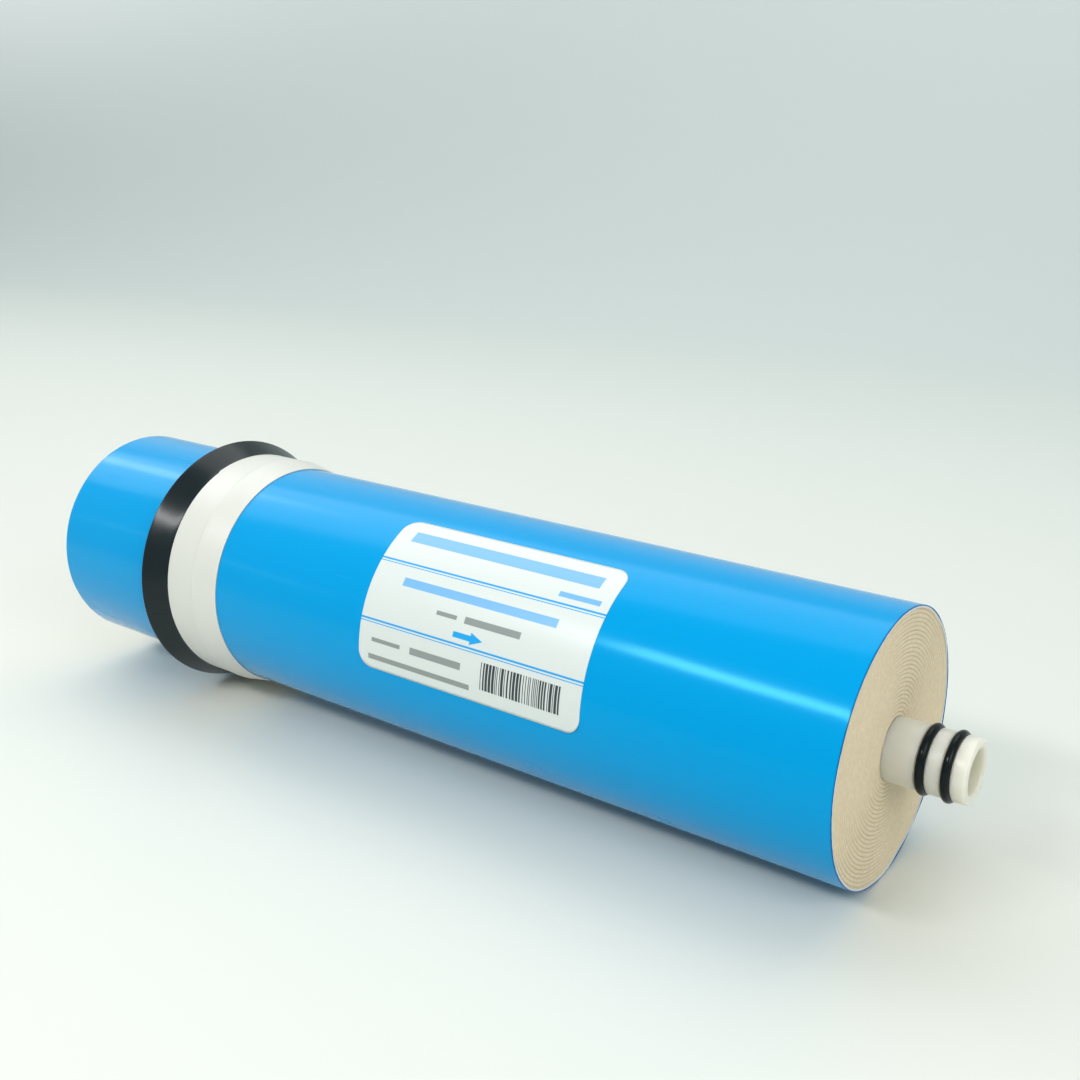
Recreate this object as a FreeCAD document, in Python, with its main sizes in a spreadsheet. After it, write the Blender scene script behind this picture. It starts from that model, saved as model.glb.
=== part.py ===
"""A spiral-wound reverse-osmosis membrane element, drawn as a parametric FreeCAD document.

Flat membrane leaves are wound round a plastic tube. The roll is bound with a tape liner and
a glossy film, and a rubber brine seal is taped on near the feed end. Treated water leaves through the
tube's spigot, which two O-rings seal in the housing.

Every piece is drawn along X. X = 0 is the outlet face, and +X is the way that treated water leaves. The
pieces are then moved together, so that the element lies on the XY plane with its middle over the origin.
All sizes are in millimetres.
"""
import FreeCAD, Part

import math
import os

import Sketcher

DRIVING_SIZES = {
    # the bound roll
    "body_length": 311.0,
    "body_radius": 39.0,
    "film_wall": 0.35,
    "liner_wall": 0.5,
    "turn_pitch": 3.48,
    "turn_depth": 0.9,
    "end_inset": 0.3,
    # the permeate tube and its spigot
    "tube_radius": 8.9,
    "bore_radius": 6.3,
    "spigot_length": 22.0,
    "nose_round": 1.7,
    "lead_in": 0.5,
    # the O-rings and their grooves
    "ring_section": 2.4,
    "ring_proud": 0.9,
    "ring_distance": 9.9,
    "ring_spacing": 6.7,
    "groove_gap": 0.25,
    # the plug that closes the tube at the feed end
    "plug_radius": 7.0,
    "plug_length": 8.0,
    "plug_recess": 1.0,
    # the brine seal and the tape that holds it
    "seal_distance": 234.0,
    "skirt_length": 14.4,
    "skirt_wall": 1.6,
    "foot_length": 1.6,
    "lip_length": 9.6,
    "lip_radius": 44.9,
    "lip_wall": 0.9,
    "tape_wall": 0.4,
    "tape_lead": 8.7,
    # the label
    "label_length": 83.4,
    "label_width": 51.8,
    "label_wall": 0.12,
    "label_corner": 5.0,
    "label_distance": 74.5,
    "label_angle": 56.7,
}
SPARE_TURNS = 2
HALF_TURN = 180.0
FULL_TURN = 360.0
OCTAGON_CORNER = 1 - math.tan(math.pi / 8)

# sizes that several pieces share, as expressions on the sheet
LINER_RADIUS = "(Sizes.body_radius - Sizes.film_wall)"
ROLL_RADIUS = "(Sizes.body_radius - Sizes.film_wall - Sizes.liner_wall)"
SKIRT_RADIUS = "(Sizes.body_radius + Sizes.skirt_wall)"
SKIRT_END = "(-Sizes.seal_distance - Sizes.skirt_length)"
TAPE_START = "(Sizes.tape_lead - Sizes.seal_distance)"
GROOVE_RADIUS = "(Sizes.tube_radius + Sizes.ring_proud - Sizes.ring_section)"
PLUG_FACE = "(Sizes.plug_recess + Sizes.plug_length - Sizes.body_length)"
LABEL_RADIUS = "(Sizes.body_radius + Sizes.label_wall)"
PLACE_ALONG = "(Sizes.body_length - Sizes.spigot_length) / 2"
PLACE_UP = "Sizes.lip_radius"

doc = FreeCAD.newDocument("membrane_element")
sheet = doc.addObject("Spreadsheet::Sheet", "Sizes")
for row, (alias, value) in enumerate(DRIVING_SIZES.items(), start=1):
    sheet.set(f"A{row}", alias)
    sheet.set(f"B{row}", str(value))
    sheet.setAlias(f"B{row}", alias)
doc.recompute()

pieces = []


def size(alias):
    """The value of one driving size, read from the sheet."""
    return float(sheet.get(alias))


def finish(piece, label):
    """Name a finished piece and tie its place to the sheet, so that all pieces move together."""
    piece.Label = label
    piece.setExpression("Placement.Base.x", PLACE_ALONG)
    piece.setExpression("Placement.Base.z", PLACE_UP)
    pieces.append(piece)


def turned(name, corners):
    """A body turned about the X axis from a closed outline.

    corners lists the outline's corners as pairs of expressions, (distance along the axis, radius). The sketch
    starts as a regular polygon, and its bound corners then move to their places.
    """
    body = doc.addObject("PartDesign::Body", name)
    sketch = body.newObject("Sketcher::SketchObject", name + "_outline")
    plane = next(feature for feature in body.Origin.OriginFeatures if feature.Role == "XZ_Plane")
    sketch.AttachmentSupport = (plane, [""])
    sketch.MapMode = "FlatFace"
    count = len(corners)
    angles = [2 * math.pi * i / count for i in range(count)]
    start = [FreeCAD.Vector(math.cos(a), 2 + math.sin(a), 0) for a in angles]
    for i in range(count):
        sketch.addGeometry(Part.LineSegment(start[i], start[(i + 1) % count]), False)
    for i in range(count):
        sketch.addConstraint(Sketcher.Constraint("Coincident", i, 2, (i + 1) % count, 1))
    for i, (along, radius) in enumerate(corners):
        for kind, value, expression in (("DistanceX", start[i].x, along), ("DistanceY", start[i].y, radius)):
            index = sketch.addConstraint(Sketcher.Constraint(kind, -1, 1, i, 1, value))
            sketch.setExpression(f"Constraints[{index}]", expression)
    revolution = body.newObject("PartDesign::Revolution", name + "_turned")
    revolution.Profile = sketch
    revolution.ReferenceAxis = (sketch, ["H_Axis"])
    revolution.Angle = FULL_TURN
    doc.recompute()
    return body


def make_permeate_tube():
    """The tube that the leaves are wound round.

    Its spigot has two O-ring grooves and a rounded nose, and its other end has a seat for the plug. The small
    holes that let treated water in from the leaves are shut inside the roll, and are left out.
    """
    corners = [("0 - Sizes.body_length", "Sizes.plug_radius"), ("0 - Sizes.body_length", "Sizes.tube_radius")]
    for number in (0, 1):
        middle = f"Sizes.ring_distance + {number} * Sizes.ring_spacing"
        half_width = "(Sizes.ring_section / 2 + Sizes.groove_gap)"
        corners += [
            (f"{middle} - {half_width}", "Sizes.tube_radius"),
            (f"{middle} - {half_width}", GROOVE_RADIUS),
            (f"{middle} + {half_width}", GROOVE_RADIUS),
            (f"{middle} + {half_width}", "Sizes.tube_radius"),
        ]
    corners += [
        ("Sizes.spigot_length", "Sizes.tube_radius"),
        ("Sizes.spigot_length", "Sizes.bore_radius + Sizes.lead_in"),
        ("Sizes.spigot_length - Sizes.lead_in", "Sizes.bore_radius"),
        (PLUG_FACE, "Sizes.bore_radius"),
        (PLUG_FACE, "Sizes.plug_radius"),
    ]
    body = turned("permeate_tube", corners)
    turned_tube = body.Tip
    nose = next(
        f"Edge{number}"
        for number, edge in enumerate(turned_tube.Shape.Edges, start=1)
        if abs(edge.BoundBox.XMin - size("spigot_length")) < 1e-6
        and abs(edge.BoundBox.ZMax - size("tube_radius")) < 1e-6
        and edge.BoundBox.XLength < 1e-6
    )
    rounding = body.newObject("PartDesign::Fillet", "nose_rounding")
    rounding.Base = (turned_tube, [nose])
    rounding.setExpression("Radius", "Sizes.nose_round")
    doc.recompute()

    finish(body, "permeate_tube")


def make_o_ring(label, number):
    """A rubber ring that sits on the floor of its groove and stands proud of the spigot.

    Its round section is drawn as half an octagon over two straight sides, which keeps the small part light.
    """
    middle = f"Sizes.ring_distance + {number} * Sizes.ring_spacing"
    half_width = "Sizes.ring_section / 2"
    bevel = f"Sizes.ring_section / 2 * {OCTAGON_CORNER}"
    outside = "Sizes.tube_radius + Sizes.ring_proud"
    body = turned(
        label,
        [
            (f"{middle} - {half_width}", GROOVE_RADIUS),
            (f"{middle} - {half_width}", f"{outside} - {bevel}"),
            (f"{middle} - {half_width} + {bevel}", outside),
            (f"{middle} + {half_width} - {bevel}", outside),
            (f"{middle} + {half_width}", f"{outside} - {bevel}"),
            (f"{middle} + {half_width}", GROOVE_RADIUS),
        ],
    )
    finish(body, label)


def make_end_plug():
    """The plug pressed into the tube at the feed end, against the step at the end of the bore."""
    outer_face = "Sizes.plug_recess - Sizes.body_length"
    body = turned(
        "end_plug",
        [
            (outer_face, "0"),
            (outer_face, "Sizes.plug_radius"),
            (PLUG_FACE, "Sizes.plug_radius"),
            (PLUG_FACE, "0"),
        ],
    )
    finish(body, "end_plug")


def make_membrane_roll():
    """The wound leaves, as one solid whose two ends show a ridge for each turn.

    The ridges are a spiral made of half turns about two centres. One comb-shaped outline is turned half way
    round the tube's axis, and the same outline is turned the other half round an axis half a pitch above it,
    so that each ridge comes back one pitch further out. The tube and the liner then bound the roll.
    """
    pitch, depth, inset = size("turn_pitch"), size("turn_depth"), size("end_inset")
    length, inner = size("body_length"), size("tube_radius")
    outer = size("body_radius") - size("film_wall") - size("liner_wall")
    turns = math.ceil((outer - inner) / pitch) + 2 * SPARE_TURNS
    start = inner - SPARE_TURNS * pitch
    valleys = [start + turn * pitch for turn in range(turns + 1)]

    def comb(face, into_roll):
        points = [FreeCAD.Vector(face + into_roll * depth, 0, valleys[0])]
        for valley in valleys[1:]:
            points.append(FreeCAD.Vector(face, 0, valley - pitch / 2))
            points.append(FreeCAD.Vector(face + into_roll * depth, 0, valley))
        return points

    outline = comb(-inset, -1) + comb(inset - length, 1)[::-1]
    section = Part.Face(Part.makePolygon(outline + [outline[0]]))
    along = FreeCAD.Vector(1, 0, 0)
    first_half = section.revolve(FreeCAD.Vector(0, 0, 0), along, HALF_TURN)
    second_half = section.revolve(FreeCAD.Vector(0, 0, pitch / 2), along, -HALF_TURN)
    foot = FreeCAD.Vector(-length, 0, 0)
    bounds = Part.makeCylinder(outer, length, foot, along).cut(Part.makeCylinder(inner, length, foot, along))
    roll = doc.addObject("Part::Feature", "membrane_roll")
    roll.Shape = first_half.common(bounds).fuse(second_half.common(bounds)).removeSplitter()
    finish(roll, "membrane_roll")


def make_wraps():
    """The tape liner round the roll and the glossy film over it, both as long as the roll."""
    for label, inside, outside in (
        ("tape_liner", ROLL_RADIUS, LINER_RADIUS),
        ("outer_film", LINER_RADIUS, "Sizes.body_radius"),
    ):
        body = turned(
            label,
            [("0", inside), ("0", outside), ("0 - Sizes.body_length", outside), ("0 - Sizes.body_length", inside)],
        )
        finish(body, label)


def make_brine_seal():
    """The rubber cup that stops feed water passing outside the roll: a straight skirt and a flared lip."""
    tip = f"{SKIRT_END} - Sizes.lip_length"
    body = turned(
        "brine_seal",
        [
            ("0 - Sizes.seal_distance", "Sizes.body_radius"),
            ("0 - Sizes.seal_distance", SKIRT_RADIUS),
            (SKIRT_END, SKIRT_RADIUS),
            (tip, "Sizes.lip_radius"),
            (tip, "Sizes.lip_radius - Sizes.lip_wall"),
            (f"{SKIRT_END} - Sizes.foot_length", "Sizes.body_radius"),
        ],
    )
    finish(body, "brine_seal")


def make_seal_tape():
    """The tape wound over the seal's skirt, which slopes down to the film in front of it."""
    body = turned(
        "seal_tape",
        [
            (TAPE_START, "Sizes.body_radius"),
            (TAPE_START, "Sizes.body_radius + Sizes.tape_wall"),
            ("0 - Sizes.seal_distance", f"{SKIRT_RADIUS} + Sizes.tape_wall"),
            (SKIRT_END, f"{SKIRT_RADIUS} + Sizes.tape_wall"),
            (SKIRT_END, SKIRT_RADIUS),
            ("0 - Sizes.seal_distance", SKIRT_RADIUS),
        ],
    )
    finish(body, "seal_tape")


def add_cylinder(name, radius):
    """A cylinder along X over the label's length, reaching from the label's end towards the outlet."""
    cylinder = doc.addObject("Part::Cylinder", name)
    cylinder.setExpression("Radius", radius)
    cylinder.setExpression("Height", "Sizes.label_length")
    cylinder.Placement.Rotation = FreeCAD.Rotation(FreeCAD.Vector(0, 1, 0), 90)
    cylinder.setExpression("Placement.Base.x", "0 - Sizes.label_distance - Sizes.label_length")
    return cylinder


def make_label():
    """The bare sticker: a patch with round corners, cut from a thin shell that lies on the film."""
    shell = doc.addObject("Part::Cut", "label_shell")
    shell.Base = add_cylinder("label_outside", LABEL_RADIUS)
    shell.Tool = add_cylinder("label_inside", "Sizes.body_radius")

    half_width = f"{LABEL_RADIUS} * sin(Sizes.label_width / Sizes.body_radius / 2 * 180 / pi)"
    block = doc.addObject("Part::Box", "label_block")
    block.setExpression("Length", "Sizes.label_length")
    block.setExpression("Width", f"2 * {half_width}")
    block.setExpression("Height", LABEL_RADIUS)
    block.setExpression("Placement.Base.x", "0 - Sizes.label_distance - Sizes.label_length")
    block.setExpression("Placement.Base.y", f"0 - {half_width}")
    doc.recompute()

    upright = [
        number
        for number, edge in enumerate(block.Shape.Edges, start=1)
        if edge.BoundBox.XLength < 1e-6 and edge.BoundBox.YLength < 1e-6
    ]
    rounded = doc.addObject("Part::Fillet", "label_corners")
    rounded.Base = block
    rounded.Edges = [(number, size("label_corner"), size("label_corner")) for number in upright]

    label = doc.addObject("Part::Common", "label")
    label.Base = shell
    label.Tool = rounded
    label.Placement.Rotation = FreeCAD.Rotation(FreeCAD.Vector(1, 0, 0), size("label_angle"))
    doc.recompute()
    finish(label, "label")


make_permeate_tube()
make_o_ring("o_ring_inner", 0)
make_o_ring("o_ring_outer", 1)
make_end_plug()
make_membrane_roll()
make_wraps()
make_brine_seal()
make_seal_tape()
make_label()
doc.recompute()

for item in doc.Objects:
    if "Invalid" in item.State or "Error" in item.State:
        raise RuntimeError(f"{item.Name} failed: {item.State}")
for piece in pieces:
    if piece.Shape.isNull() or not piece.Shape.isValid() or len(piece.Shape.Solids) != 1:
        raise RuntimeError(f"{piece.Label} isn't one valid solid")

os.makedirs("parts", exist_ok=True)
for piece in pieces:
    piece.Shape.exportStep(f"parts/{piece.Label}.step")
    print(f"{piece.Label}: {piece.Shape.Volume / 1000:.2f} cm3, {len(piece.Shape.Faces)} faces")
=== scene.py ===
# %% [markdown]
# # A spiral-wound membrane element
#
# The element is a roll of flat membrane leaves, wound round a plastic tube, bound with blue film and
# sealed with rubber. The CAD frame already holds every piece at its real size and place. This lesson
# dresses that frame: each surface is worked out again with enough points to look round, and each finish
# is a small tree of shader nodes. Blender never moves or resizes a CAD piece, so every place below comes
# from the frame.

# %% Load the frame
import math

import bmesh
import bpy
import numpy as np
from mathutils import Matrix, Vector


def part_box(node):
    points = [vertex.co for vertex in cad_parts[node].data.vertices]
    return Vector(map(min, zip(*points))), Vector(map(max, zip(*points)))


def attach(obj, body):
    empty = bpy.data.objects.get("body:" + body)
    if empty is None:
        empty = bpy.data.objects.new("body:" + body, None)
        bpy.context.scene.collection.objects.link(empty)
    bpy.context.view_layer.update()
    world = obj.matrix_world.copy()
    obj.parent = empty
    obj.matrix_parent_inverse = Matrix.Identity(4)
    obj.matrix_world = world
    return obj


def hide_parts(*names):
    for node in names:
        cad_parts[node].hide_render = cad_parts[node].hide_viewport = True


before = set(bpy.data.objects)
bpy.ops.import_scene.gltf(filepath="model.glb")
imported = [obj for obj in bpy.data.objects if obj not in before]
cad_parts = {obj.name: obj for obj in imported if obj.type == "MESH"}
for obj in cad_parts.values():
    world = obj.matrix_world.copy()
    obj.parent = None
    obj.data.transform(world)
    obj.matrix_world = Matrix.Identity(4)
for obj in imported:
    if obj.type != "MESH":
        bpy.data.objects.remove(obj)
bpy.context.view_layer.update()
MM = 0.001

# %% [markdown]
# ## Where things are
#
# All pieces but the label are turned about one axis that runs along X. The frame gives each node's lowest
# and highest corner, so the axis height, the two end faces and each radius can be read from those boxes.

# %% Read the places from the frame
film_low, film_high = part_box("outer_film")
liner_low, liner_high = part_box("tape_liner")
roll_low, roll_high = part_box("membrane_roll")
tube_low, tube_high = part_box("permeate_tube")
plug_low, plug_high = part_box("end_plug")
seal_low, seal_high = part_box("brine_seal")
tape_low, tape_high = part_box("seal_tape")
label_low, label_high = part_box("label")
AXIS_HEIGHT = (film_low[2] + film_high[2]) / 2


def radius_of(high):
    """The radius of a turned node: how far its box reaches above the axis."""
    return high[2] - AXIS_HEIGHT


OUTLET_X, FEED_X = film_high[0], film_low[0]
FILM_RADIUS = radius_of(film_high)
LINER_RADIUS = radius_of(liner_high)
ROLL_RADIUS = radius_of(roll_high)
TUBE_RADIUS = radius_of(tube_high)
LIP_RADIUS = radius_of(seal_high)
TAPE_RADIUS = radius_of(tape_high)
NOSE_X = tube_high[0]
print(f"film radius {FILM_RADIUS / MM:.2f} mm, roll {ROLL_RADIUS / MM:.2f} mm")
print(f"tube radius {TUBE_RADIUS / MM:.2f} mm, axis height {AXIS_HEIGHT / MM:.2f} mm")

# %% [markdown]
# ## Turning an outline
#
# A turned piece could be a Spin operator on a drawn curve. Working it out as arrays is plainer: an
# outline gives distance along the axis and radius, and each of its points is carried round the axis.
# Sharp corners catch no light, so every corner of an outline is first replaced by a small arc.

# %% Outline helpers
TAU = 2 * math.pi
STRAIGHT = 1e-3                   # a corner this near to a straight line, in radians, stays as it is
SIDE_SHARE = 0.45                 # the part of a side that one arc may use up


def rounded_outline(corners, rounds, steps=5):
    """A closed outline with each corner swapped for an arc.

    An arc of radius r that touches both sides starts r / tan(half the corner's angle) before the
    corner, and its centre lies on the corner's bisector. The radius shrinks where a side is too
    short for it.
    """
    corners = np.asarray(corners, float)
    points = []
    for index, radius in enumerate(rounds):
        corner = corners[index]
        back = corners[index - 1] - corner
        ahead = corners[(index + 1) % len(corners)] - corner
        back_length, ahead_length = np.linalg.norm(back), np.linalg.norm(ahead)
        back, ahead = back / back_length, ahead / ahead_length
        half = math.acos(np.clip(back @ ahead, -1, 1)) / 2
        if radius <= 0 or half > math.pi / 2 - STRAIGHT:
            points.append(corner[None])
            continue
        radius = min(radius, SIDE_SHARE * min(back_length, ahead_length) * math.tan(half))
        middle = (back + ahead) / np.linalg.norm(back + ahead)
        centre = corner + middle * radius / math.sin(half)
        first = corner + back * radius / math.tan(half) - centre
        last = corner + ahead * radius / math.tan(half) - centre
        start, end = math.atan2(first[1], first[0]), math.atan2(last[1], last[0])
        sweep = (end - start + math.pi) % TAU - math.pi
        angles = start + sweep * np.linspace(0, 1, steps + 1)
        points.append(centre + radius * np.column_stack([np.cos(angles), np.sin(angles)]))
    return np.vstack(points)


def filled_in(outline, longest):
    """The same closed outline, with its sides divided until none is longer than the given length."""
    points = []
    for start, end in zip(outline, np.roll(outline, -1, axis=0)):
        count = max(1, math.ceil(np.linalg.norm(end - start) / longest))
        share = np.linspace(0, 1, count, endpoint=False)[:, None]
        points.append(start + (end - start) * share)
    return np.vstack(points)


# %% [markdown]
# ## From arrays to a mesh
#
# Blender takes a mesh as a list of points and a list of faces that number those points. Modelling by hand
# would give the same lists. Here they come from arrays, so that a grid of points needs only one rule for
# its faces. Merging doubles and recalculating the normals afterwards makes every face point outwards.

# %% Mesh helpers
WELD = 1e-7                       # metres between two points that count as one


def mesh_object(name, vertices, faces):
    """A new object from arrays of vertices and faces, at the origin, shaded smooth."""
    mesh = bpy.data.meshes.new(name)
    mesh.from_pydata(vertices.tolist(), [], faces.tolist())
    mesh.polygons.foreach_set("use_smooth", np.ones(len(mesh.polygons), bool))
    mesh.update()
    piece = bpy.data.objects.new(name, mesh)
    bpy.context.scene.collection.objects.link(piece)
    return piece


def ring_faces(rows, columns):
    """The quads of a grid that closes in both directions, numbered row by row."""
    row, column = np.meshgrid(np.arange(rows), np.arange(columns), indexing="ij")
    next_row, next_column = (row + 1) % rows, (column + 1) % columns
    corners = (row * columns + column, row * columns + next_column,
               next_row * columns + next_column, next_row * columns + column)
    return np.stack(corners, axis=-1).reshape(-1, 4)


def around_axis(along, radius, turn):
    """Points at a distance along X, a radius, and a turn from straight up towards -Y, in radians."""
    return np.stack([along, -radius * np.sin(turn), AXIS_HEIGHT + radius * np.cos(turn)], axis=-1)


def face_outwards(piece):
    """Recalculate the normals of a closed mesh, so that its faces point outwards."""
    shell = bmesh.new()
    shell.from_mesh(piece.data)
    bmesh.ops.remove_doubles(shell, verts=shell.verts, dist=WELD)
    bmesh.ops.dissolve_degenerate(shell, edges=shell.edges, dist=WELD)
    bmesh.ops.recalc_face_normals(shell, faces=shell.faces)
    shell.to_mesh(piece.data)
    shell.free()
    return piece


def turned(name, outline, segments=256, shift=None):
    """A closed outline carried round the axis.

    outline holds (distance along X, radius), and point (i, j) is outline point i at turn j of the
    full circle. shift is an optional function of the grid's (along, radius, turn) that returns small
    changes (along, radius), for windings and cut edges that aren't quite true.
    """
    turn = np.linspace(0, TAU, segments, endpoint=False)
    along = np.repeat(outline[:, :1], segments, axis=1)
    radius = np.repeat(outline[:, 1:], segments, axis=1)
    turns = np.broadcast_to(turn, along.shape)
    if shift:
        more_along, more_radius = shift(along, radius, turns)
        along, radius = along + more_along, radius + more_radius
    vertices = around_axis(along, radius, turns).reshape(-1, 3)
    piece = face_outwards(mesh_object(name, vertices, ring_faces(len(outline), segments)))
    print(f"{name}: {len(piece.data.polygons)} faces")
    return piece


def dressed(piece, material, node):
    """Give a piece its finish, let it ride on the frame, and hide the CAD node that it stands for."""
    piece.data.materials.append(material)
    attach(piece, "root")
    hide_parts(node)
    return piece


# %% [markdown]
# ## Waves for things that aren't quite true
#
# A wound film or a cut leaf is never perfectly even. Random numbers per point would look like sand, so
# unevenness here is a sum of a few sine waves whose phases come from a seeded generator. It is smooth, it
# closes on itself after a full turn, and it is the same in every run.

# %% Smooth seeded waves
def waves(turn, lowest, highest, seed):
    """A sum of sine waves round the axis, between about -1 and 1.

    Wave k has k full periods in a turn and a seeded phase. The sum is divided by the square root of
    the number of waves.
    """
    random = np.random.default_rng(seed)
    counts = np.arange(lowest, highest + 1)
    phases = random.uniform(0, TAU, len(counts))
    total = np.zeros(np.shape(turn))
    for count, phase in zip(counts, phases):
        total = total + np.sin(count * turn + phase)
    return total / math.sqrt(len(counts))


# %% [markdown]
# ## Shader maths as Python
#
# A finish is a tree of nodes, which could be drawn by hand in the Shader Editor. It is easier to read as
# an expression than as a page of links, so the class below wraps one socket and adds a Math node for each
# operator that is used on it.

# %% Shader maths
class Wire:
    """One output socket, with operators that add Math nodes."""

    def __init__(self, tree, socket):
        self.tree = tree
        self.socket = socket

    def _math(self, operation, *values):
        return self.tree.node("ShaderNodeMath", {"operation": operation}, dict(enumerate(values)))

    def __add__(self, other):
        return self._math("ADD", self, other)

    def __sub__(self, other):
        return self._math("SUBTRACT", self, other)

    def __mul__(self, other):
        return self._math("MULTIPLY", self, other)

    def __radd__(self, other):
        return self._math("ADD", other, self)

    def __rsub__(self, other):
        return self._math("SUBTRACT", other, self)

    def __rmul__(self, other):
        return self._math("MULTIPLY", other, self)

    def __abs__(self):
        return self._math("ABSOLUTE", self)

    def at_most(self, other):
        return self._math("MINIMUM", self, other)

    def ramp(self, low, high):
        """0 below low, 1 above high, and smooth between them."""
        settings = {"interpolation_type": "SMOOTHSTEP"}
        inputs = {"Value": self, "From Min": low, "From Max": high}
        return self.tree.node("ShaderNodeMapRange", settings, inputs)


# %% [markdown]
# ## One material as one object
#
# Every material here is one Principled BSDF, the shader that covers plastic, rubber and paper alike. The
# class below makes it, and its `node` method makes any other node from its type, its settings and the
# values or links of its inputs. Patterns read the point on the piece, so they stay fixed to it.

# %% Material helper
class Tree:
    """A new material whose nodes are made by calls."""

    def __init__(self, name, base_color, roughness):
        self.material = bpy.data.materials.new(name)
        self.material.use_nodes = True
        self.nodes = self.material.node_tree.nodes
        self.links = self.material.node_tree.links
        self.shader = self.nodes["Principled BSDF"]
        self.set("Base Color", (*base_color, 1))
        self.set("Roughness", roughness)

    def set(self, socket, value):
        """Give one of the main shader's sockets a number, a colour or a link."""
        self._feed(self.shader.inputs[socket], value)

    def _feed(self, socket, value):
        if isinstance(value, Wire):
            self.links.new(value.socket, socket)
        elif isinstance(value, (tuple, list)) and socket.type == "RGBA" and len(value) == 3:
            socket.default_value = (*value, 1)
        else:
            socket.default_value = value

    def node(self, kind, settings=None, inputs=None, output=0):
        """Any node: its settings first, then its inputs by name or number. Returns one of its outputs."""
        made = self.nodes.new(kind)
        for key, value in (settings or {}).items():
            setattr(made, key, value)
        for key, value in (inputs or {}).items():
            self._feed(made.inputs[key], value)
        return Wire(self, made.outputs[output])

    def place(self):
        """The point on the piece, in metres, because every piece's object sits at the origin."""
        return self.node("ShaderNodeTexCoord", output="Object")

    def split(self, vector):
        """The three numbers of a vector."""
        made = self.node("ShaderNodeSeparateXYZ", inputs={"Vector": vector})
        sockets = made.socket.node.outputs
        return [Wire(self, socket) for socket in sockets]

    def scaled(self, vector, scale):
        """A vector with each number multiplied, to stretch a pattern."""
        return self.node("ShaderNodeVectorMath", {"operation": "MULTIPLY"}, {0: vector, 1: scale})

    def noise(self, vector, scale, detail=3.0):
        """Smooth noise about 0.5, with its features 1 / scale apart."""
        inputs = {"Vector": vector, "Scale": scale, "Detail": detail}
        return self.node("ShaderNodeTexNoise", inputs=inputs)

    def mix(self, share, first, second):
        """A colour between two colours."""
        settings = {"data_type": "RGBA"}
        return self.node("ShaderNodeMix", settings, {0: share, 6: first, 7: second}, output=2)

    def bump(self, height, distance, strength):
        """A normal from a height between 0 and 1 that stands for the given distance in metres."""
        inputs = {"Height": height, "Distance": distance, "Strength": strength}
        return self.node("ShaderNodeBump", inputs=inputs)


# %% [markdown]
# ## The wound roll
#
# Two leaves are wound together, so each one's edge is a spiral that moves out by two leaf thicknesses a
# turn. Both end faces are worked out on a polar grid that is sheared to follow the spiral: along a row of
# the grid the radius grows by one full pitch a turn, and the last column joins the first one two leaves
# further out. Between two leaves the face dips, because only their cut edges reach the end plane. A bump
# texture could draw the lines, but real dips also shade each other, and they end cleanly at the tube and
# at the film.

# %% End face of the roll
LEAF = 1.16 * MM                  # thickness of one leaf with its spacer
LEAVES = 2
# Places across a leaf, from one gap to the next, and how far the face lies back at each of them.
ACROSS = np.array([0.0, 0.09, 0.24, 0.5, 0.76, 0.91])
DIP = np.array([0.34, 0.17, 0.03, 0.0, 0.03, 0.17]) * MM
CREST = roll_high[0]
ROLL_COLUMNS = 240
EDGE_WAVES = 9                    # slow waves that make a leaf's edge uneven
EDGE_RATES = (0.4, 9.0)           # their slowest and fastest number of radians per radian of turn
UNEVEN = 0.07 * MM                # half of the most that they move an edge back


def leaf_face(end_x, inwards, seed):
    """One end face of the roll: points (rows, columns, 3).

    radius = tube radius + leaf thickness * (leaf number + place across) + pitch * (turn / full turn
    - 1), kept between the tube and the liner. The face lies back by the dip, and each leaf's edge is
    a little uneven.
    """
    leaf_count = math.ceil((ROLL_RADIUS - TUBE_RADIUS) / LEAF) + LEAVES + 1
    number = np.repeat(np.arange(leaf_count), len(ACROSS))[:, None]
    across = np.tile(ACROSS, leaf_count)[:, None]
    dip = np.tile(DIP, leaf_count)[:, None]
    turn = np.linspace(0, TAU, ROLL_COLUMNS, endpoint=False)[None]
    radius = TUBE_RADIUS + LEAF * (number + across) + LEAVES * LEAF * (turn / TAU - 1)
    whole_turn = turn + TAU * (number // LEAVES)
    random = np.random.default_rng(seed)
    uneven = np.zeros_like(radius)
    for _ in range(EDGE_WAVES):
        rate, phase = random.uniform(*EDGE_RATES), random.uniform(0, TAU, LEAVES)
        uneven += np.sin(rate * whole_turn + phase[number % LEAVES])
    back = dip + (uneven / EDGE_WAVES + 1) * UNEVEN
    radius = np.clip(radius, TUBE_RADIUS, ROLL_RADIUS)
    along = end_x + inwards * np.broadcast_to(back, radius.shape)
    return around_axis(along, radius, np.broadcast_to(turn, radius.shape))


def sheared_faces(rows, columns, shift):
    """Quads of the polar grid.

    The last column joins the first one, a given number of rows further out.
    """
    row, column = np.meshgrid(np.arange(rows - 1 - shift), np.arange(columns), indexing="ij")
    wraps = column == columns - 1
    ahead = np.where(wraps, 0, column + 1)
    row_ahead = np.where(wraps, row + shift, row)
    quads = np.stack([row * columns + column, row_ahead * columns + ahead,
                      (row_ahead + 1) * columns + ahead, (row + 1) * columns + column], axis=-1)
    return quads.reshape(-1, 4)


# %% [markdown]
# ## Closing the roll
#
# The real roll is solid all the way through. Only its skin can be seen, so the two end faces are joined
# by an inner wall along the tube and an outer wall under the liner, which makes one closed mesh.

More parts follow.
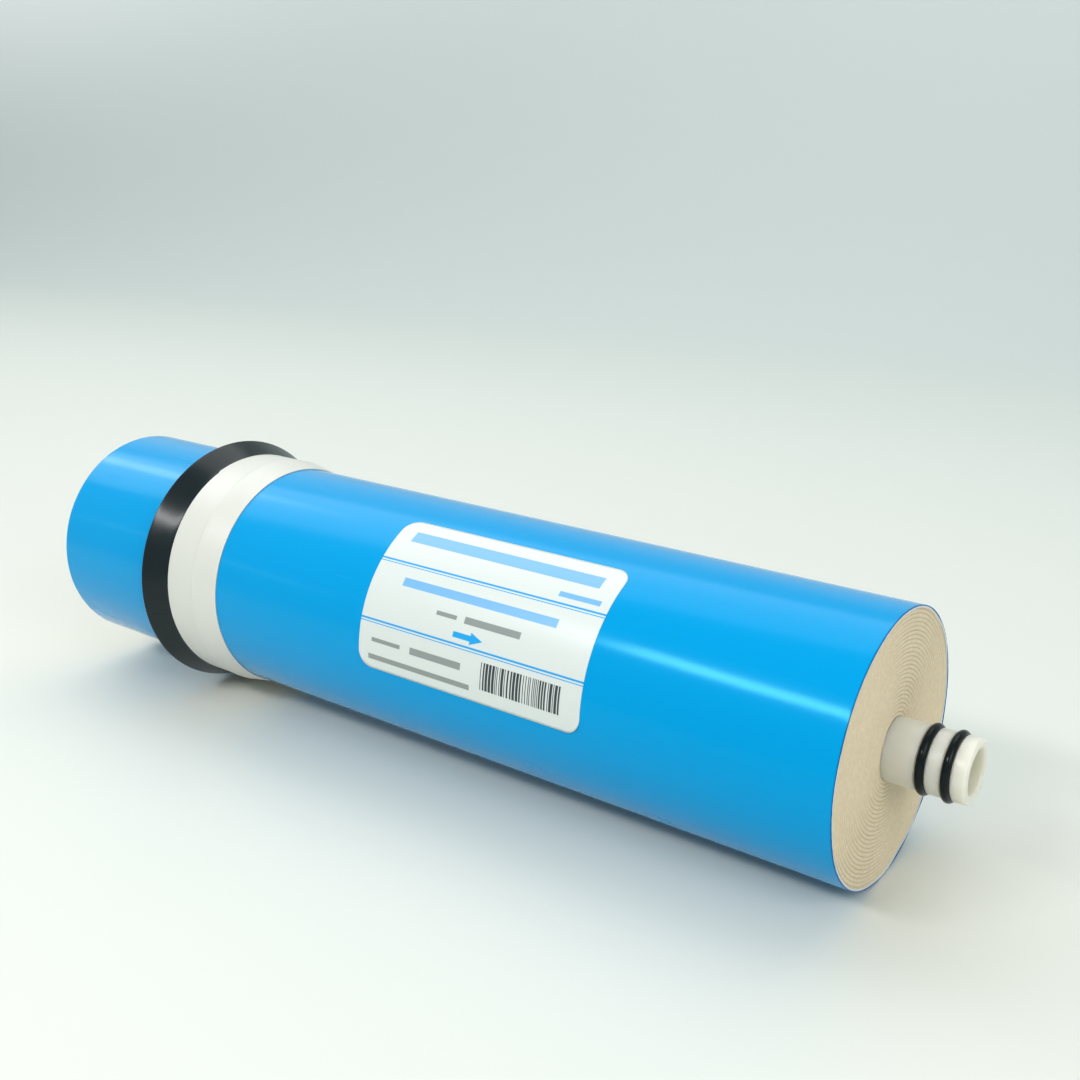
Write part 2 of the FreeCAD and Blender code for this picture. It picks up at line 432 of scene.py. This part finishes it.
# %% Membrane roll
def make_roll():
    """Both end faces, joined by the roll's inner and outer walls."""
    faces_there = []
    grids = [leaf_face(roll_high[0], -1, 5), leaf_face(roll_low[0], 1, 6)]
    shift = LEAVES * len(ACROSS)
    rows = grids[0].shape[0]
    size = rows * ROLL_COLUMNS
    for index in range(2):
        faces_there.append(sheared_faces(rows, ROLL_COLUMNS, shift) + index * size)
    for row in (0, rows - 1 - shift):
        column = np.arange(ROLL_COLUMNS)
        wraps = column == ROLL_COLUMNS - 1
        here = row * ROLL_COLUMNS + column
        there = np.where(wraps, (row + shift) * ROLL_COLUMNS, here + 1)
        faces_there.append(np.stack([here, there, there + size, here + size], axis=-1))
    points = np.concatenate([grid.reshape(-1, 3) for grid in grids])
    return face_outwards(mesh_object("wound_roll", points, np.concatenate(faces_there)))


roll = make_roll()
print("wound_roll:", len(roll.data.polygons), "faces")

# %% [markdown]
# ## Film and liner
#
# The film is the blue skin of the element and the liner is the clear tape under it. Both are thin tubes
# with a cut edge. A Solidify modifier on an open tube would give the wall, but here the wall is part of
# the turned outline, so that the cut edge can wander along the axis by a tenth of a millimetre or so.

# %% Outer film and tape liner
RIM = 0.9 * MM                    # the length near each end where the cut wanders
SLOW_PART = 0.7                   # the slow waves' share of the wander


def cut_edge(wander, seed, fine=0.0):
    """A shift for a turned tube whose ends wander along the axis by up to the given length."""
    def shift(along, radius, turn):
        near_end = np.clip(1 - (OUTLET_X - along) / RIM, 0, 1) - np.clip(1 - (along - FEED_X) / RIM, 0, 1)
        rough = waves(turn, 2, 14, seed) * SLOW_PART + waves(turn, 40, 90, seed + 1) * fine
        return -near_end * wander * np.clip(1 + rough, 0, 2) / 2, np.zeros_like(radius)
    return shift


def tube_outline(inner, outer, start, end, rounding):
    """A thin tube's closed outline, with short rows near each end so that the cut can wander.

    The two extra points go in after the outer corner at the outlet, where x + 40 * radius is greatest.
    """
    corners = [(start, inner), (end, inner), (end, outer), (start, outer)]
    outline = rounded_outline(corners, [rounding] * 4, steps=3)
    near = [(end - RIM, outer), (start + RIM, outer)]
    after = int(np.argmax(outline @ np.array([1.0, 40.0])))
    return np.vstack([outline[:after + 1], near, outline[after + 1:]])


film_outline = tube_outline(LINER_RADIUS, FILM_RADIUS, FEED_X, OUTLET_X, rounding=0.1 * MM)
film = turned("film_skin", film_outline, 480, cut_edge(0.12 * MM, 21, fine=0.25))
liner_outline = tube_outline(ROLL_RADIUS, LINER_RADIUS, FEED_X, OUTLET_X, rounding=0.08 * MM)
liner = turned("liner_skin", liner_outline, 384, cut_edge(0.3 * MM, 31))

# %% [markdown]
# ## Brine seal
#
# The rubber cup has a straight skirt that lies on the film, and a lip that flares out towards the feed
# end and is hollow underneath. Feed water presses the lip against its vessel. A Spin of a drawn curve
# would do as well, but the turned outline takes its radii straight from the frame.

# %% Brine seal
TAPE_WALL = 0.4 * MM              # several layers of tape
LIP_WALL = 0.9 * MM
HOLLOW_START = 1.6 * MM           # how far past the tape the hollow under the lip begins
SKIRT_START, SKIRT_END = seal_high[0], tape_low[0]
SKIRT_RADIUS = TAPE_RADIUS - TAPE_WALL
seal_corners = [
    (SKIRT_START, FILM_RADIUS), (SKIRT_START, SKIRT_RADIUS), (SKIRT_END, SKIRT_RADIUS),
    (seal_low[0], LIP_RADIUS), (seal_low[0], LIP_RADIUS - LIP_WALL),
    (SKIRT_END - HOLLOW_START, FILM_RADIUS),
]
seal_rounds = [0, 0.3 * MM, 9 * MM, 0.4 * MM, 0.35 * MM, 0.6 * MM]
seal_outline = rounded_outline(seal_corners, seal_rounds, steps=6)
brine_seal = turned("brine_cup", filled_in(seal_outline, 1.2 * MM), 256)

# %% [markdown]
# ## Seal tape
#
# White tape holds the seal on. It runs over the skirt, slopes down in front of it and ends in a thin step
# on the film. The skirt's front edge shows through it as a low ridge. Cloth simulation could wrap real
# tape, but a turned outline with a small shift shows the same things and is the same in every run.

# %% Seal tape
TAPE_EDGE = tape_high[0]
STEP_TURN = math.radians(21)      # where the tape's outer end lies
STEP_RISE = math.radians(1.5)     # the turn over which the tape gets wider there
STEP_FADE = math.radians(25)      # the turn over which the extra width fades
STEP_WIDTH = 0.6 * MM             # how much wider the tape is there
FEED_ZONE = 2 * MM                # the part of the tape next to its feed edge that moves with the step
RIDGE_BACK = 1.3 * MM             # how far the ridge lies behind the skirt's front edge
RIDGE_WIDTH = 0.5 * MM
RIDGE_HEIGHT = 0.2 * MM
tape_corners = [
    (TAPE_EDGE, FILM_RADIUS), (TAPE_EDGE, FILM_RADIUS + TAPE_WALL), (SKIRT_START, TAPE_RADIUS),
    (SKIRT_END, TAPE_RADIUS), (SKIRT_END, SKIRT_RADIUS), (SKIRT_START, SKIRT_RADIUS),
]
tape_outline = rounded_outline(tape_corners, [0, 0.15 * MM, 3 * MM, 0.15 * MM, 0, 0], steps=6)


def tape_shift(along, radius, turn):
    """A ridge near the skirt's front edge, and the wider feed edge where the tape's outer end lies.

    The ridge's height is e^(-(distance / width)^2). Away from the tape's end, the extra width fades
    with e^(-angle / 25 degrees).
    """
    outside = radius > SKIRT_RADIUS + TAPE_WALL / 2
    ridge = np.exp(-((along - SKIRT_START + RIDGE_BACK) / RIDGE_WIDTH) ** 2) * outside
    feed_edge = np.clip(1 - (along - SKIRT_END) / FEED_ZONE, 0, 1)
    before = (STEP_TURN - turn + math.pi) % TAU - math.pi
    wider = np.clip(before / STEP_RISE, 0, 1) * np.exp(-np.clip(before, 0, None) / STEP_FADE)
    return -feed_edge * wider * STEP_WIDTH, ridge * RIDGE_HEIGHT


seal_tape = turned("wrap_tape", filled_in(tape_outline, 0.45 * MM), 300, tape_shift)

# %% [markdown]
# ## Spigot
#
# Treated water leaves through the tube. Its outlet end has a round nose and two grooves for O-rings. A
# cylinder with boolean cuts would leave hard edges, so the tube is one turned outline with the bore
# inside it and a small arc at each corner.

# %% Permeate tube
BORE_RADIUS = 6.3 * MM
BORE_CHAMFER = 0.5 * MM
GROOVE_PLAY = 0.25 * MM           # how much wider a groove is than its ring, on each side
GROOVE_ROUNDS = [0.16 * MM, 0.1 * MM, 0.1 * MM, 0.16 * MM]
END_ROUND, NOSE_ROUND = 0.1 * MM, 1.7 * MM
ring_places = [tuple(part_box(name)) for name in ("o_ring_inner", "o_ring_outer")]
ring_middles = [(low[0] + high[0]) / 2 for low, high in ring_places]
RING_HALF = (ring_places[0][1][0] - ring_places[0][0][0]) / 2      # half the ring's thickness
RING_CENTRE = radius_of(ring_places[0][1]) - RING_HALF
GROOVE_FLOOR = RING_CENTRE - RING_HALF
PLUG_RADIUS = radius_of(plug_high)
half_groove = RING_HALF + GROOVE_PLAY
tube_corners = [(tube_low[0], PLUG_RADIUS), (tube_low[0], TUBE_RADIUS)]
tube_rounds = [END_ROUND, END_ROUND]
for middle in ring_middles:
    tube_corners += [(middle - half_groove, TUBE_RADIUS), (middle - half_groove, GROOVE_FLOOR),
                     (middle + half_groove, GROOVE_FLOOR), (middle + half_groove, TUBE_RADIUS)]
    tube_rounds += GROOVE_ROUNDS
tube_corners += [
    (NOSE_X, TUBE_RADIUS), (NOSE_X, BORE_RADIUS + BORE_CHAMFER), (NOSE_X - BORE_CHAMFER, BORE_RADIUS),
    (plug_high[0], BORE_RADIUS), (plug_high[0], PLUG_RADIUS),
]
tube_rounds += [NOSE_ROUND, 0.45 * MM, 0.6 * MM, 0, 0]
spigot_outline = rounded_outline(tube_corners, tube_rounds, steps=6)
permeate_tube = turned("core_tube", filled_in(spigot_outline, 3 * MM), 192)

# %% [markdown]
# ## Plug and O-rings
#
# A plug closes the tube at the feed end, so that raw water can't get in. The O-rings seal the spigot in
# its socket. A Torus primitive would do for them, but a circle carried round the axis uses the helper
# that is already there. The plug's outline stops at a pinhole on the axis, where its points would fall
# together.

# %% Plug and O-rings
PINHOLE = 0.02 * MM
plug_corners = [(plug_low[0], PINHOLE), (plug_low[0], PLUG_RADIUS),
                (plug_high[0], PLUG_RADIUS), (plug_high[0], PINHOLE)]
end_plug = turned("core_plug", rounded_outline(plug_corners, [0, 0.5 * MM, 0.2 * MM, 0]), 128)

ring_turn = np.linspace(0, TAU, 36, endpoint=False)
o_rings = []
for ring_name, middle in zip(("inner_o_ring", "outer_o_ring"), ring_middles):
    circle = np.column_stack([middle + RING_HALF * np.cos(ring_turn),
                              RING_CENTRE + RING_HALF * np.sin(ring_turn)])
    o_rings.append(turned(ring_name, circle, 192))

# %% [markdown]
# ## Label
#
# The sticker is a thin sheet bent round the film. A plane with Shrinkwrap could follow the film, but its
# points are plain to work out: a distance along the axis and a distance round the film, both measured on
# the flat sheet. They also become its UV map, in centimetres, so that the print can be laid out with a
# ruler.

# %% Label sheet
CENTIMETRE = 0.01
LABEL_LENGTH = label_high[0] - label_low[0]
LABEL_WIDTH = 51.8 * MM           # measured round the film
LABEL_MIDDLE = math.radians(56.7)
LABEL_WALL = 0.12 * MM
LABEL_CLEAR = 0.005 * MM          # the underside's distance from the film
LABEL_ROUND = 5.0 * MM
LIFTED_FROM_END, LIFTED_FROM_SIDE = 1.6 * MM, 1.0 * MM     # the middle of the lifted corner
LIFT_REACH, LIFT_HEIGHT = 2.6 * MM, 0.35 * MM
CREASE_REACH, CREASE_WIDTH, CREASE_HEIGHT = 3.2 * MM, 0.5 * MM, 0.05 * MM


def label_points(along_count=110, round_count=60):
    """Flat places on the sheet: (along, down), with the columns shortened where the corners are round.

    Near an end, at distance d from it, the sheet starts r - sqrt(r^2 - (r - d)^2) below its edge.
    """
    share = (1 - np.cos(np.linspace(0, math.pi, along_count))) / 2
    along = share * LABEL_LENGTH
    from_end = np.minimum(along, LABEL_LENGTH - along)
    reach = np.clip(LABEL_ROUND - from_end, 0, None)
    inset = LABEL_ROUND - np.sqrt(LABEL_ROUND ** 2 - reach ** 2)
    across = np.linspace(0, 1, round_count)[None]
    down = inset[:, None] + across * (LABEL_WIDTH - 2 * inset[:, None])
    return np.repeat(along[:, None], round_count, axis=1), down


def sheet_height(along, down):
    """How far the sheet stands off the film: only the lower corner at the outlet end has lifted.

    With d the distance from that corner, the lift is e^(-(d / reach)^2), and a crease follows the
    same rule about a circle round it.
    """
    corner = np.hypot(LABEL_LENGTH - LIFTED_FROM_END - along, LABEL_WIDTH - LIFTED_FROM_SIDE - down)
    lift = np.exp(-(corner / LIFT_REACH) ** 2) * LIFT_HEIGHT
    crease = np.exp(-((corner - CREASE_REACH) / CREASE_WIDTH) ** 2) * CREASE_HEIGHT
    return lift + crease


def make_label():
    """The sheet's two sides and the thin wall between their borders."""
    along, down = label_points()
    rows, columns = along.shape
    turn = LABEL_MIDDLE + (down - LABEL_WIDTH / 2) / FILM_RADIUS
    height = sheet_height(along, down)
    outside = around_axis(label_low[0] + along, FILM_RADIUS + LABEL_WALL + height, turn)
    inside = around_axis(label_low[0] + along, FILM_RADIUS + LABEL_CLEAR + height, turn)
    row, column = np.meshgrid(np.arange(rows - 1), np.arange(columns - 1), indexing="ij")
    first = row * columns + column
    side = np.stack([first, first + 1, first + columns + 1, first + columns], axis=-1).reshape(-1, 4)
    border = np.concatenate([np.arange(columns), np.arange(1, rows) * columns + columns - 1,
                             (rows - 1) * columns + np.arange(columns - 2, -1, -1),
                             np.arange(rows - 2, 0, -1) * columns])
    after = np.roll(border, -1)
    count = rows * columns
    wall = np.stack([border, after, after + count, border + count], axis=-1)
    faces = np.concatenate([side, side + count, wall])
    points = np.concatenate([outside.reshape(-1, 3), inside.reshape(-1, 3)])
    piece = mesh_object("sticker", points, faces)
    flat = np.tile(np.stack([along, down], axis=-1).reshape(-1, 2), (2, 1)) / CENTIMETRE
    layer = piece.data.uv_layers.new(name="Sheet")
    corners = np.empty(len(piece.data.loops), int)
    piece.data.loops.foreach_get("vertex_index", corners)
    layer.data.foreach_set("uv", flat[corners].ravel())
    return face_outwards(piece)


label = make_label()
print("sticker:", len(label.data.polygons), "faces")

# %% [markdown]
# ## Blue film
#
# The film is glossy and saturated, so it shows the lights as soft bands along its length. A clear coat
# would add white to those bands, so the gloss is the shader's own, low and tinted blue. Slow noise makes
# the bands waver a little, and a few scuffed patches are rougher. The cut edge at the outlet is darker.

# %% Blue film finish
FILM_BLUE = (0.0, 0.285, 0.61)
FILM_EDGE_BLUE = (0.0, 0.09, 0.30)
film_finish = Tree("Blue film", FILM_BLUE, 0.16)
film_finish.set("Specular IOR Level", 0.25)
film_finish.set("Specular Tint", (0.2, 0.85, 1.0, 1))
place = film_finish.place()
x = film_finish.split(place)[0]
stretched = film_finish.scaled(place, (6.0, 60.0, 60.0))
slow = film_finish.noise(stretched, 1.0, detail=2.0)
rim = (OUTLET_X - x).ramp(0.55 * MM, 0.1 * MM)
film_finish.set("Base Color", film_finish.mix(rim, FILM_BLUE, FILM_EDGE_BLUE))
scuffs = film_finish.noise(film_finish.scaled(place, (40.0, 900.0, 900.0)), 1.0, detail=4.0)
patches = film_finish.noise(place, 28.0, detail=1.0).ramp(0.62, 0.72)
film_finish.set("Roughness", 0.13 + patches * scuffs.ramp(0.5, 0.75) * 0.3 + slow * 0.06)
film_finish.set("Normal", film_finish.bump(slow, 0.25 * MM, 0.6))

# %% [markdown]
# ## Wound leaves
#
# A leaf is pale felt and mesh spacer with glue at its edge. Fine noise varies its colour, a net of small
# cells gives the mesh's grain as a bump, and painted shade makes the face darker the further it lies back
# from the end plane, where the gaps between leaves would be in shadow. Distance from the middle of the
# roll serves both ends with one rule.

# %% Leaf and liner finishes
liner_finish = Tree("Clear tape edge", (0.62, 0.66, 0.66), 0.3)

leaf_finish = Tree("Wound leaves", (0.64, 0.55, 0.38), 0.62)
place = leaf_finish.place()
x = leaf_finish.split(place)[0]
middle_x = (OUTLET_X + FEED_X) / 2
depth = CREST - abs(x - middle_x) - middle_x
net_inputs = {"Vector": place, "Scale": 1300.0}
net = leaf_finish.node("ShaderNodeTexVoronoi", {"feature": "F1"}, net_inputs)
fibres = leaf_finish.noise(place, 900.0, detail=2.0)
paler = leaf_finish.mix(fibres.ramp(0.35, 0.7), (0.66, 0.55, 0.38), (0.72, 0.61, 0.43))
# Painted shade: the face turns darker where it lies back between the leaves, as if the gaps were in shadow.
gap_shade_painted = depth.ramp(0.12 * MM, 0.5 * MM)
leaf_finish.set("Base Color", leaf_finish.mix(gap_shade_painted, paler, (0.46, 0.36, 0.22)))
leaf_finish.set("Normal", leaf_finish.bump(net, 0.12 * MM, 0.5))

# %% [markdown]
# ## Plastic, rubber and white tape
#
# The tube's plastic is milky: light goes in and comes out nearby, which subsurface scattering shows and a
# plain white wouldn't. The two rubbers are nearly black and differ in gloss. The tape is a dull white
# with slow noise as a bump, because wound tape is never quite flat.

# %% Plastic, rubber and tape finishes
tube_finish = Tree("Milky plastic", (0.67, 0.645, 0.55), 0.36)
tube_finish.set("Subsurface Weight", 0.9)
tube_finish.set("Subsurface Radius", (0.009, 0.0085, 0.0065))
tube_finish.set("Subsurface Scale", 1.0)

ring_finish = Tree("Ring rubber", (0.004, 0.008, 0.009), 0.16)
ring_finish.set("Specular IOR Level", 0.14)
seal_finish = Tree("Seal rubber", (0.004, 0.010, 0.012), 0.3)
seal_finish.set("Specular IOR Level", 0.25)
place = seal_finish.place()
seal_finish.set("Roughness", seal_finish.noise(place, 160.0) * 0.12 + 0.18)

tape_finish = Tree("White tape", (0.61, 0.61, 0.555), 0.34)
place = tape_finish.place()
tape_waves = tape_finish.noise(tape_finish.scaled(place, (120.0, 30.0, 30.0)), 1.0)
tape_finish.set("Normal", tape_finish.bump(tape_waves, 0.12 * MM, 0.35))

# %% [markdown]
# ## Print on the label
#
# The print is two pairs of blue rules across the sheet, a blue arrow that points to the outlet, bars of
# pale blue and grey in place of lines of print, and a block of dark bars that stands for nothing. An
# image could hold them, but here each shape is a product of soft steps on the label's own ruler, in
# centimetres along and down the sheet, so its edges stay sharp at any size.

# %% Label inks
PAPER = (0.62, 0.66, 0.63)
PRINT_BLUE = (0.0, 0.32, 0.70)
PRINT_GREY = (0.03, 0.05, 0.05)
PRINT_DARK = (0.02, 0.03, 0.035)
label_finish = Tree("Printed label", PAPER, 0.3)
sheet = label_finish.node("ShaderNodeUVMap", {"uv_map": "Sheet"})
along, down, _ = label_finish.split(sheet)
SOFT = 0.008                      # centimetres over which a printed edge fades


def between(value, low, high):
    """1 where the value lies between two limits, and 0 outside them."""
    return value.ramp(low - SOFT, low + SOFT) * (1 - value.ramp(high - SOFT, high + SOFT))


def field(left, right, top, bottom):
    """A printed rectangle, from its left and right ends and its top and bottom edges."""
    return between(along, left, right) * between(down, top, bottom)


def printed(fields):
    """All the rectangles of one ink together."""
    total = fields[0]
    for one in fields[1:]:
        total = total + one
    return total.at_most(1.0)


# %% [markdown]
# ## Rules and arrow
#
# The rules are long fields that run off both ends of the sheet. The arrow is a short field and a head,
# whose half width shrinks evenly to nothing at the tip.

# %% Rules and arrow
SHEET = (-0.1, 8.5)               # from before the sheet's start to past its end
RULE_EDGES = ((1.615, 1.675), (1.72, 1.75), (3.585, 3.645), (3.69, 3.72))
HEAD_START, TIP, ARROW_DOWN = 4.26, 4.72, 3.345
HEAD_SLOPE = 0.40                 # half the head's width for each length before the tip
rules = printed([field(*SHEET, top, bottom) for top, bottom in RULE_EDGES])
head_width = (TIP - along) * HEAD_SLOPE
from_middle = abs(down - ARROW_DOWN)
head = between(along, HEAD_START, TIP) * (head_width - from_middle).ramp(-SOFT, SOFT)
blue = (rules + field(3.61, 4.27, 3.26, 3.43) + head).at_most(1.0)

# %% [markdown]
# ## Fields and bars
#
# Pale blue and grey fields stand where the real label has its lines of print. The dark bars have seeded
# random widths and gaps, so they look right from afar and hold no code.

# %% Fields and bars
PALE_FIELDS = ((0.62, 7.7, 0.47, 0.89), (6.6, 8.02, 1.27, 1.44), (1.22, 7.0, 2.11, 2.38))
GREY_FIELDS = ((2.82, 3.6, 2.81, 2.94), (3.9, 5.95, 2.76, 2.97), (0.52, 1.68, 4.16, 4.29),
               (2.08, 4.06, 4.12, 4.34), (0.4, 4.42, 4.7, 4.87))
BARS_START, BARS_LAST, BARS_END = 4.82, 7.6, 7.7
BARS_DOWN = (3.9, 4.73)
pale_fields = printed([field(*edges) for edges in PALE_FIELDS])
grey_fields = printed([field(*edges) for edges in GREY_FIELDS])
random = np.random.default_rng(77)
edge, bars = BARS_START, []
while edge < BARS_LAST:
    bar_width = random.choice([0.03, 0.03, 0.06, 0.09])
    bars.append(between(along, edge, min(edge + bar_width, BARS_END)))
    edge += bar_width + random.choice([0.03, 0.03, 0.06])
dark = printed(bars) * between(down, *BARS_DOWN)
paper = label_finish.mix(pale_fields * 0.75, PAPER, PRINT_BLUE)
paper = label_finish.mix(blue, paper, PRINT_BLUE)
paper = label_finish.mix(grey_fields * 0.65, paper, PRINT_GREY)
label_finish.set("Base Color", label_finish.mix(dark, paper, PRINT_DARK))
print("dark bars:", len(bars))

# %% [markdown]
# ## Which piece stands for which part
#
# Every finished piece takes the place of one CAD node, and rides on the one body that the element has.
# Pieces of one stuff share one material.

# %% Dress the pieces
dressed(roll, leaf_finish.material, "membrane_roll")
dressed(film, film_finish.material, "outer_film")
dressed(liner, liner_finish.material, "tape_liner")
dressed(brine_seal, seal_finish.material, "brine_seal")
dressed(seal_tape, tape_finish.material, "seal_tape")
dressed(permeate_tube, tube_finish.material, "permeate_tube")
dressed(end_plug, tube_finish.material, "end_plug")
dressed(o_rings[0], ring_finish.material, "o_ring_inner")
dressed(o_rings[1], ring_finish.material, "o_ring_outer")
dressed(label, label_finish.material, "label")

# %% [markdown]
# ## Stage
#
# The element lies on its lip at one end and on its bare film at the other, so the floor meets it at a slope
# of a little over one degree. The floor rises behind it in one sweep, like hung backdrop paper, which
# leaves no horizon. A faint glow on the far wall makes up for lamps that stand out of sight.

# %% Stage
LIP_REACH = 5.9 * MM              # how far the lip stands out past the film
SLOPE = LIP_REACH / (OUTLET_X - seal_low[0])
FLOOR_GAP = 0.05 * MM
FLOOR_NEAR, FLOOR_FAR = -0.42, 0.75
BEND = 0.9                        # radius of the sweep
FLOOR_COLOR = (0.665, 0.675, 0.62)
WALL_COLOR = (0.53, 0.58, 0.56)


def make_sweep():
    """A floor that bends up into a wall: flat, then a quarter circle, then straight up."""
    flat = np.linspace(FLOOR_NEAR, FLOOR_FAR, 24)
    bend = np.linspace(0, math.pi / 2, 24)[1:]
    away = np.concatenate([flat, flat[-1] + BEND * np.sin(bend), [flat[-1] + BEND] * 2])
    up = np.concatenate([flat * 0, BEND - BEND * np.cos(bend), [1.6, 2.6]])
    side = np.linspace(-4.5, 4.5, 9)
    x, away = np.meshgrid(side, away, indexing="ij")
    z = np.broadcast_to(up, x.shape) + SLOPE * (x - seal_low[0]) - FLOOR_GAP
    points = np.stack([x, away, z], axis=-1).reshape(-1, 3)
    columns = len(up)
    row, column = np.meshgrid(np.arange(len(side) - 1), np.arange(columns - 1), indexing="ij")
    first = row * columns + column
    faces = np.stack([first, first + columns, first + columns + 1, first + 1], axis=-1).reshape(-1, 4)
    return mesh_object("sweep", points, faces)


floor_finish = Tree("Pale floor", FLOOR_COLOR, 0.45)
x, y, z = floor_finish.split(floor_finish.place())
floor_finish.set("Base Color", floor_finish.mix(y.ramp(0.05, 1.1), FLOOR_COLOR, WALL_COLOR))
floor_finish.set("Specular IOR Level", 0.3)
floor_finish.set("Emission Strength", 1.0)
glow = z.ramp(0.05, 0.8) * 0.19 + z.ramp(0.0, 0.6) * (0.0 - x).ramp(1.0, 2.8) * 0.17
floor_finish.set("Emission Color", floor_finish.mix(glow, (0, 0, 0), (0.97, 1.0, 0.98)))
sweep = make_sweep()
sweep.data.materials.append(floor_finish.material)

# %% [markdown]
# ## Lights
#
# Soft boxes light the element. The top panel is turned to lie along it and gives the broad sheen, the
# narrow front strip gives the bright line, and the end fill lights the outlet face. The world adds an
# even, cool light that softens every shadow. Point lamps would give hard spots on the glossy film.

# %% Lights and world
def panel(name, place, aim, size, power):
    """A rectangular area light at a place, turned towards a point."""
    light = bpy.data.lights.new(name, "AREA")
    light.shape = "RECTANGLE"
    light.size, light.size_y = size
    light.energy = power
    lamp = bpy.data.objects.new(name, light)
    lamp.location = place
    lamp.rotation_euler = (Vector(aim) - Vector(place)).to_track_quat("-Z", "Y").to_euler()
    bpy.context.scene.collection.objects.link(lamp)
    return lamp


top = panel("Top panel", place=(-0.77, 0.34, 1.12), aim=(-0.77, 0.34, 0), size=(2.4, 0.9), power=12.0)
top.rotation_euler = (0, 0, math.radians(21.5))
panel("Front strip", place=(-0.19, -0.72, 0.70), aim=(0.08, -0.03, 0.06), size=(0.50, 0.10), power=4.4)
panel("Low strip", place=(-0.83, -0.66, 0.30), aim=(-0.09, -0.03, 0.06), size=(0.26, 0.03), power=0.04)
panel("End fill", place=(1.0, -0.45, 0.75), aim=(0.14, 0, AXIS_HEIGHT), size=(0.7, 0.7), power=6.0)
panel("Wall wash", place=(-2.3, 0.3, 1.7), aim=(-2.3, 1.6, 0.7), size=(1.0, 0.6), power=7.0)

world = bpy.data.worlds.new("Studio")
world.use_nodes = True
background = world.node_tree.nodes["Background"]
background.inputs["Color"].default_value = (0.88, 0.97, 1.0, 1)
background.inputs["Strength"].default_value = 0.60
bpy.context.scene.world = world

# %% [markdown]
# ## Camera
#
# The camera stands close to the outlet end and a little above it, so the element runs away from it and
# its far end looks smaller. The Standard view transform keeps the colours as they are set.

# %% Camera
camera_data = bpy.data.cameras.new("Camera")
camera_data.lens = 42.77
camera_data.sensor_width = 36
camera_data.clip_start = 0.01
camera = bpy.data.objects.new("Camera", camera_data)
camera.location = (0.2510, -0.3007, 0.2040)
aim = Vector((0.0246, 0.0041, 0.0783))
camera.rotation_euler = (aim - camera.location).to_track_quat("-Z", "Y").to_euler()
bpy.context.scene.collection.objects.link(camera)
bpy.context.scene.camera = camera
bpy.context.scene.view_settings.view_transform = "Standard"
print(f"camera lens: {camera_data.lens} mm")
